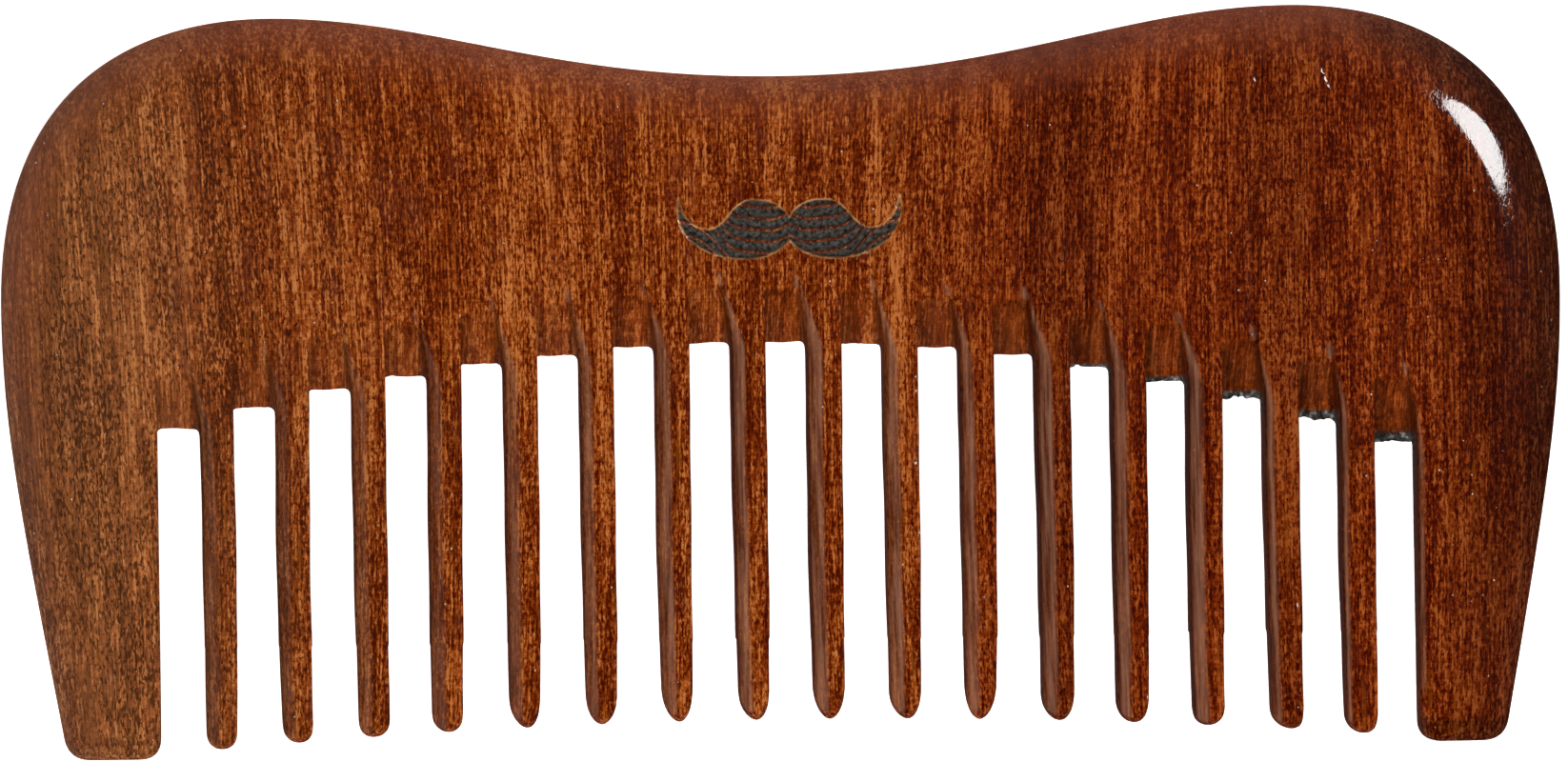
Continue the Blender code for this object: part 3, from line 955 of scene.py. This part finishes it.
class Nodes:
    """Short ways to add shader nodes and join them, in a material or a world."""

    def __init__(self, owner):
        owner.use_nodes = True
        self.tree = owner.node_tree
        self.shader = self.tree.nodes[SHADER_OF[type(owner)]]

    def new(self, kind, values=(), **settings):
        """A node with its settings and its inputs: each a number, a colour or another's output."""
        node = self.tree.nodes.new(kind)
        for key, value in settings.items():
            setattr(node, key, value)
        for key, value in dict(values).items():
            self.put(value, node.inputs[key])
        return node

    def put(self, value, socket):
        """Joins an output to the socket, or sets the socket's own value."""
        if isinstance(value, bpy.types.NodeSocket):
            self.tree.links.new(value, socket)
        else:
            socket.default_value = value

    def attribute(self, name, output="Fac"):
        return self.new("ShaderNodeAttribute", attribute_name=name).outputs[output]

    def math(self, operation, a, b=0.0, clamp=False):
        node = self.new("ShaderNodeMath", {0: a, 1: b}, operation=operation)
        node.use_clamp = clamp
        return node.outputs[0]

    def times(self, a, b):
        return self.math("MULTIPLY", a, b)

    def plus(self, a, b):
        return self.math("ADD", a, b)

    def rest(self, share):
        """What a share leaves of 1."""
        return self.math("SUBTRACT", 1.0, share)

    def noise(self, vector, scale, detail=3.0, roughness=0.55, distortion=0.0):
        """Noise stretched by scale, a step per millimetre in each direction."""
        stretched = self.new("ShaderNodeVectorMath", {0: vector, 1: scale}, operation="MULTIPLY")
        values = {
            "Vector": stretched.outputs[0],
            "Scale": 1.0,
            "Detail": detail,
            "Roughness": roughness,
            "Distortion": distortion,
        }
        return self.new("ShaderNodeTexNoise", values).outputs["Fac"]

    def between(self, value, low, high, smooth=True):
        """0 below low, 1 above high."""
        values = {"Value": value, "From Min": low, "From Max": high}
        kind = "SMOOTHSTEP" if smooth else "LINEAR"
        return self.new("ShaderNodeMapRange", values, interpolation_type=kind).outputs[0]

    def mix(self, share, under, over, blend="MIX"):
        node = self.new("ShaderNodeMix", data_type="RGBA", blend_type=blend)
        self.put(share, node.inputs["Factor"])
        self.put(under, node.inputs["A"])
        self.put(opaque(over), node.inputs["B"])
        return node.outputs["Result"]

    def covered(self, under, share, strength, shade):
        """The colour under, covered by a shade where share is 1, to this strength."""
        return self.mix(self.times(share, strength), under, shade)

    def tinted(self, under, share, strength, tint):
        """The colour under, multiplied by a tint where share is 1, to this strength."""
        return self.mix(self.times(share, strength), under, tint, "MULTIPLY")

    def ramp(self, value, stops):
        """A colour for each value, through stops of a place and a colour."""
        node = self.new("ShaderNodeValToRGB", {"Fac": value})
        elements = node.color_ramp.elements
        while len(elements) < len(stops):
            elements.new(0.5)
        for element, (place, shade) in zip(elements, stops):
            element.position = place
            element.color = opaque(shade)
        return node.outputs["Color"]


def linear(value):
    """The light that a display value from 0 to 1 stands for, by the sRGB curve."""
    return value / 12.92 if value <= 0.04045 else ((value + 0.055) / 1.055) ** 2.4


def seen(red, green, blue):
    """The wood's own colour, where the studio's light makes it show as these values of 255."""
    return tuple(linear(value / 255) / LIGHT_LEVEL for value in (red, green, blue))


def pores(n, place):
    """Short dark dashes along the grain, crowded in some growth bands."""
    crowding = n.noise(place, (0.45, 0.05, 0.3), detail=2)
    dashes = n.noise(place, (6.2, 1.9, 4.0), detail=1, roughness=0.5, distortion=0.5)
    return n.between(n.plus(dashes, n.times(crowding, 0.35)), 0.69, 0.79)


def grain_tone(n, place, pore):
    """Low in the dark grain and high in the pale: broad bands, fine streaks, flecks and crinkles."""
    layers = (
        (n.noise(place, (0.22, 0.016, 0.1), detail=2, distortion=0.4), 0.6),
        (n.noise(place, (0.85, 0.018, 0.3), detail=1), 0.45),
        (n.noise(place, (1.1, 0.07, 0.6), detail=3, roughness=0.6), 0.75),
        (n.noise(place, (5.6, 0.2, 3.0), detail=2, roughness=0.6), 1.7),
        (n.noise(place, (4.4, 1.9, 3.5), detail=2, roughness=0.7), 1.6),
        (n.noise(place, (0.6, 6.5, 2.0), detail=2), 0.4),
    )
    tone = n.times(pore, -0.4)
    for noise, weight in layers:
        tone = n.plus(tone, n.times(n.math("SUBTRACT", noise, 0.5), weight))
    return n.plus(tone, 0.6)


def heartwood(n, place, pore):
    """Red-brown wood with purplish blotches and a few golden streaks."""
    stops = (
        (0.05, seen(70, 14, 0)),
        (0.28, seen(98, 29, 0)),
        (0.5, seen(130, 50, 8)),
        (0.72, seen(166, 80, 25)),
        (0.95, seen(206, 123, 62)),
    )
    wood = n.ramp(grain_tone(n, place, pore), stops)
    blotch = n.between(n.noise(place, (0.6, 0.22, 0.4), detail=4, roughness=0.6), 0.52, 0.72)
    wood = n.covered(wood, blotch, 0.45, seen(98, 40, 26))
    gold = n.between(n.noise(place, (2.2, 0.11, 1.0), detail=2), 0.6, 0.74)
    return n.covered(wood, gold, 0.4, seen(172, 98, 26))


def left_end(n, place, pore, along, wood):
    """Towards the left a painted sheen makes the wood a duller, greyer brown, with clearer lines and
    darker pores.
    """
    to_left = n.times(along, -1.0)
    sheen_and_lines = n.between(to_left, *LEFT_SHEEN_AND_LINES)
    # Painted sheen: duller and greyer towards the left.
    wood = n.tinted(wood, sheen_and_lines, 0.4, (1.05, 1.4, 2.4))
    wood = n.covered(wood, sheen_and_lines, 0.18, seen(146, 94, 54))
    wood = n.covered(wood, n.between(to_left, *LEFT_GREY_SHEEN), 0.26, seen(166, 118, 76))
    streaks = n.noise(place, (5.0, 0.16, 2.6), detail=2, roughness=0.6)
    lines = n.ramp(streaks, ((0.38, (0.52, 0.5, 0.46)), (0.62, (1.3, 1.32, 1.3))))
    wood = n.tinted(wood, sheen_and_lines, 0.8, lines)
    return n.tinted(wood, n.times(pore, sheen_and_lines), 0.85, (0.34, 0.28, 0.26))


def right_end(n, along, wood):
    """Towards the right the colour is darker and redder, with two dark growth bands, and painted
    shade darkens it most along the right-hand edge.
    """
    wood = n.tinted(wood, n.between(along, *RED_RIGHT), 0.9, (0.72, 0.52, 0.38))
    # Painted shade along the right-hand edge.
    wood = n.tinted(wood, n.between(along, *SHADED_RIGHT_EDGE), 0.8, (0.42, 0.4, 0.42))
    for middle, strength in DARK_BANDS:
        off_band = n.math("ABSOLUTE", n.math("SUBTRACT", along, middle))
        band = n.rest(n.between(off_band, *BAND_FADE))
        wood = n.tinted(wood, band, strength, (0.55, 0.5, 0.5))
    return wood


def wood_colour(n, place, pore):
    """The plain wood, all along the comb."""
    along = n.new("ShaderNodeSeparateXYZ", {0: place}).outputs["X"]
    wood = heartwood(n, place, pore)
    wood = left_end(n, place, pore, along, wood)
    return right_end(n, along, wood)


def painted_rim_sheen(n, place, shade):
    """A painted sheen on the rim: a smooth, paler reddish brown."""
    rim_sheen = n.ramp(
        n.noise(place, (1.4, 0.1, 0.5), detail=4),
        ((0.3, seen(122, 56, 34)), (0.7, seen(168, 92, 62))),
    )
    return n.covered(shade, n.attribute("rim_sheen_share"), 0.42, rim_sheen)


def sawn_ramps(n, place, shade):
    """The ramps are smoother and painted brighter, and the groove beside each gets painted shade."""
    ramp = n.attribute("ramp_share")
    smooth = n.ramp(
        n.noise(place, (2.4, 0.12, 0.6), detail=3),
        ((0.32, seen(122, 48, 6)), (0.68, seen(215, 114, 32))),
    )
    shade = n.covered(shade, ramp, 0.16, smooth)
    # Painted light: the ramps, which face away from the lamps, are brightened.
    shade = n.mix(ramp, shade, (1.3, 1.3, 1.25), "MULTIPLY")
    # Painted shade in the groove beside each ramp.
    return n.tinted(shade, n.attribute("shadow_share"), 0.75, (0.36, 0.33, 0.33))


def painted_pore_glints(n, place, shade):
    """Painted glints: a few pale specks in the pores."""
    glint = n.between(n.noise(place, (3.4, 2.6, 3.0), detail=0), 0.87, 0.9)
    return n.mix(glint, shade, seen(222, 206, 190))


def painted_bevel_sheen(n, place, shade):
    """A painted sheen on the bevels: streaky, and a paler purplish grey-brown."""
    bevel_sheen = n.ramp(
        n.noise(place, (3.4, 0.14, 0.6), detail=3),
        ((0.36, seen(104, 60, 42)), (0.64, seen(194, 138, 108))),
    )
    return n.covered(shade, n.attribute("bevel_share"), 0.56, bevel_sheen)


def painted_edge_shade(n, place, shade):
    """Painted shade on the right-hand corner's edge and the feet, with a few pale painted glints in
    it.
    """
    edge_shade = n.ramp(
        n.noise(place, (3.2, 2.2, 2.0), detail=3, roughness=0.7),
        ((0.35, (0.3, 0.36, 0.4)), (0.62, (0.55, 0.62, 0.7)), (0.72, (1.5, 2.2, 3.0))),
    )
    return n.tinted(shade, n.attribute("edge_shade_share"), 0.85, edge_shade)


def engraving(n, place, shade):
    """The ornament: a scorched floor inside a thin painted highlight along its edge. Also gives the
    scorched share.
    """
    ragged = n.times(n.math("SUBTRACT", n.noise(place, (5, 5, 5)), 0.5), 0.12)
    edge = n.plus(n.attribute("mark_distance"), ragged)
    # A painted highlight along the engraving's edge.
    pale = n.rest(n.between(n.math("ABSOLUTE", edge), 0.03, 0.13))
    patchy = n.between(n.noise(place, (0.9, 0.9, 0.9), detail=2), 0.35, 0.6)
    pale = n.times(pale, n.plus(n.times(patchy, 0.6), 0.25))
    shade = n.mix(pale, shade, seen(216, 160, 102))
    scorch = n.between(n.times(edge, -1.0), 0.02, 0.14)
    scorch = n.times(scorch, n.rest(n.times(n.attribute("strand_share"), 0.8)))
    char = n.ramp(
        n.noise(place, (3, 3, 3), detail=4),
        ((0.35, seen(26, 24, 20)), (0.7, seen(98, 94, 88))),
    )
    return n.mix(scorch, shade, char), scorch


def burnt_lips(n, place, shade):
    """Charred wood where the saw burnt the roots: dark grey, with pale grey spots painted as glints.
    """
    char_and_glints = n.ramp(
        n.noise(place, (2.4, 2.4, 2.4), detail=3),
        ((0.38, seen(40, 38, 34)), (0.55, seen(84, 82, 78)), (0.68, seen(176, 172, 166))),
    )
    return n.mix(n.attribute("burnt_share"), shade, char_and_glints)


def varnish(n, place, charred):
    """A clear coat, thin where the wood is charred and on the sawn walls and the rim's side."""
    rough = n.between(n.noise(place, (0.8, 0.3, 0.8), detail=3), 0.2, 0.8, smooth=False)
    rough = n.plus(n.times(rough, ROUGHNESS_RANGE), ROUGHNESS_LEAST)
    rough = n.math("ADD", rough, n.times(charred, CHARRED_ROUGHNESS), clamp=True)
    n.put(rough, n.shader.inputs["Roughness"])
    n.shader.inputs["IOR"].default_value = WOOD_IOR
    n.shader.inputs["Specular IOR Level"].default_value = WOOD_SPECULAR
    n.shader.inputs["Coat Roughness"].default_value = COAT_ROUGHNESS
    n.shader.inputs["Coat IOR"].default_value = COAT_IOR
    bare = n.math("MAXIMUM", charred, n.attribute("steep_share"))
    n.put(n.rest(n.times(bare, BARE_COAT_LOSS)), n.shader.inputs["Coat Weight"])


def relief(n, place, pore, charred):
    """Pores dip through the varnish, and the grain stands a little proud under it."""
    fine = n.noise(place, (4.2, 0.35, 2.0), detail=3)
    height = n.math("SUBTRACT", n.times(fine, 0.4), n.times(pore, 0.8))
    height = n.plus(height, n.times(n.times(charred, 0.8), fine))
    for strength, socket in ((WOOD_RELIEF, "Normal"), (COAT_RELIEF, "Coat Normal")):
        values = {"Height": height, "Distance": RELIEF_HEIGHT, "Strength": strength}
        n.put(n.new("ShaderNodeBump", values).outputs[0], n.shader.inputs[socket])


def varnished_wood():
    """The comb's one material, with its sawn, engraved and burnt places, and painted sheen, shade and
    glints.
    """
    material = bpy.data.materials.new("varnished_wood")
    n = Nodes(material)
    place = n.attribute("grain_place", "Vector")
    sawn = n.math(
        "MAXIMUM",
        n.times(n.attribute("ramp_share"), 0.25),
        n.times(n.attribute("bevel_share"), 0.5),
    )
    rim_sheen = n.times(n.attribute("rim_sheen_share"), 0.7)
    # Pores fade on the sawn ramps, under the bevels' painted sheen and under the rim's painted sheen.
    pore_fading = n.math("MAXIMUM", n.times(sawn, 0.8), rim_sheen)
    pore = n.times(pores(n, place), n.rest(pore_fading))
    shade = wood_colour(n, place, pore)
    # These add the rim's painted sheen, the ramps' painted light and groove shade, painted glints,
    # the bevels' painted sheen and painted edge shade.
    for overlay in (painted_rim_sheen, sawn_ramps, painted_pore_glints, painted_bevel_sheen, painted_edge_shade):
        shade = overlay(n, place, shade)
    shade, scorch = engraving(n, place, shade)
    shade = burnt_lips(n, place, shade)
    n.put(shade, n.shader.inputs["Base Color"])
    charred = n.math("MAXIMUM", scorch, n.attribute("burnt_share"))
    varnish(n, place, charred)
    relief(n, place, pore, charred)
    return material


# The studio.


FLOOR_HALF = 3.0
FLOOR_DROP = 0.0002
FLOOR_GLOW = 0.9

CAMERA_PLACE = (-0.06, 0, 2.0)
CAMERA_ROLL = math.radians(-0.8)
SENSOR_WIDTH = 36
FOCAL_LENGTH = 572
CLIP_START = 0.01


def floor():
    """A wide, pale, evenly lit floor just under the comb."""
    corners = [(x * FLOOR_HALF, y * FLOOR_HALF) for x, y in ((-1, -1), (1, -1), (1, 1), (-1, 1))]
    mesh = bpy.data.meshes.new("floor")
    mesh.from_pydata([(x, y, -FLOOR_DROP) for x, y in corners], [], [(0, 1, 2, 3)])
    ground = bpy.data.objects.new("floor", mesh)
    bpy.context.scene.collection.objects.link(ground)
    material = bpy.data.materials.new("pale_floor")
    n = Nodes(material)
    speckle = n.new("ShaderNodeTexNoise", {"Scale": 900.0, "Detail": 2.0}).outputs["Fac"]
    shade = n.ramp(speckle, ((0.0, (0.88, 0.88, 0.88)), (1.0, (0.92, 0.92, 0.92))))
    n.put(shade, n.shader.inputs["Base Color"])
    n.shader.inputs["Roughness"].default_value = 0.9
    n.shader.inputs["Emission Color"].default_value = (1, 1, 1, 1)
    n.shader.inputs["Emission Strength"].default_value = FLOOR_GLOW
    mesh.materials.append(material)
    ground.visible_glossy = False


def softbox(name, place, target, width, height, radiance, shape="RECTANGLE", glossy=True):
    """A light facing a target. Its power follows from the radiance and its area."""
    light = bpy.data.lights.new(name, "AREA")
    light.shape = shape
    light.size = width
    light.size_y = height
    area = width * height * (math.pi / 4 if shape == "ELLIPSE" else 1)
    light.energy = radiance * math.pi * area
    thing = bpy.data.objects.new(name, light)
    thing.location = place
    aim = Vector(target) - Vector(place)
    thing.rotation_euler = aim.to_track_quat("-Z", "Y").to_euler()
    thing.visible_glossy = glossy
    bpy.context.scene.collection.objects.link(thing)


def pale_horizon():
    """The studio's walls: dark overhead, and brightening towards the horizon at the left and top."""
    world = bpy.data.worlds.new("studio")
    n = Nodes(world)
    direction = n.new("ShaderNodeTexCoord").outputs["Generated"]
    parts = n.new("ShaderNodeSeparateXYZ", {0: direction})
    low = n.between(n.times(parts.outputs["Z"], -1.0), -0.9, -0.2)
    towards_top = n.times(parts.outputs["Y"], 0.7)
    away = n.between(n.math("SUBTRACT", towards_top, parts.outputs["X"]), -0.65, 0.2)
    n.put(n.times(low, away), n.shader.inputs["Strength"])
    bpy.context.scene.world = world


def studio():
    """An oval softbox for the corner's glint, and soft fills that the varnish doesn't mirror."""
    middle = (0, 0, 0)
    softbox(
        "key",
        place=(0.53, 0.285, 0.726),
        target=(0.055, 0.02, THICKNESS * MM),
        width=0.27,
        height=0.54,
        radiance=15.5,
        shape="ELLIPSE",
    )
    softbox(
        "front_fill",
        place=(-0.08, -0.72, 0.74),
        target=middle,
        width=0.4,
        height=0.5,
        radiance=17.0,
        glossy=False,
    )
    softbox(
        "top_fill",
        place=(-0.2, 0.9, 0.5),
        target=middle,
        width=0.7,
        height=0.4,
        radiance=3.0,
        glossy=False,
    )
    pale_horizon()
    bpy.context.scene.view_settings.view_transform = "Standard"


def camera():
    """Above the comb and a little to its left, with the comb's left end a touch lower."""
    lens = bpy.data.cameras.new("camera")
    lens.sensor_width = SENSOR_WIDTH
    lens.lens = FOCAL_LENGTH
    lens.clip_start = CLIP_START
    place = Vector(CAMERA_PLACE)
    back = (place - Vector((0, 0, THICKNESS * MM))).normalized()
    right = Vector((0, 1, 0)).cross(back).normalized()
    up = back.cross(right)
    thing = bpy.data.objects.new("camera", lens)
    turn = Matrix((right, up, back)).transposed().to_4x4()
    thing.matrix_world = Matrix.Translation(place) @ turn @ Matrix.Rotation(CAMERA_ROLL, 4, "Z")
    bpy.context.scene.collection.objects.link(thing)
    bpy.context.scene.camera = thing


def main():
    """The comb on its body, with its material, in the studio."""
    comb = comb_object(1.0, MOST_FACES)
    finish_comb(comb)
    comb.data.materials.clear()
    comb.data.materials.append(varnished_wood())
    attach(comb, "root")
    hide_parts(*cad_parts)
    floor()
    studio()
    camera()


main()
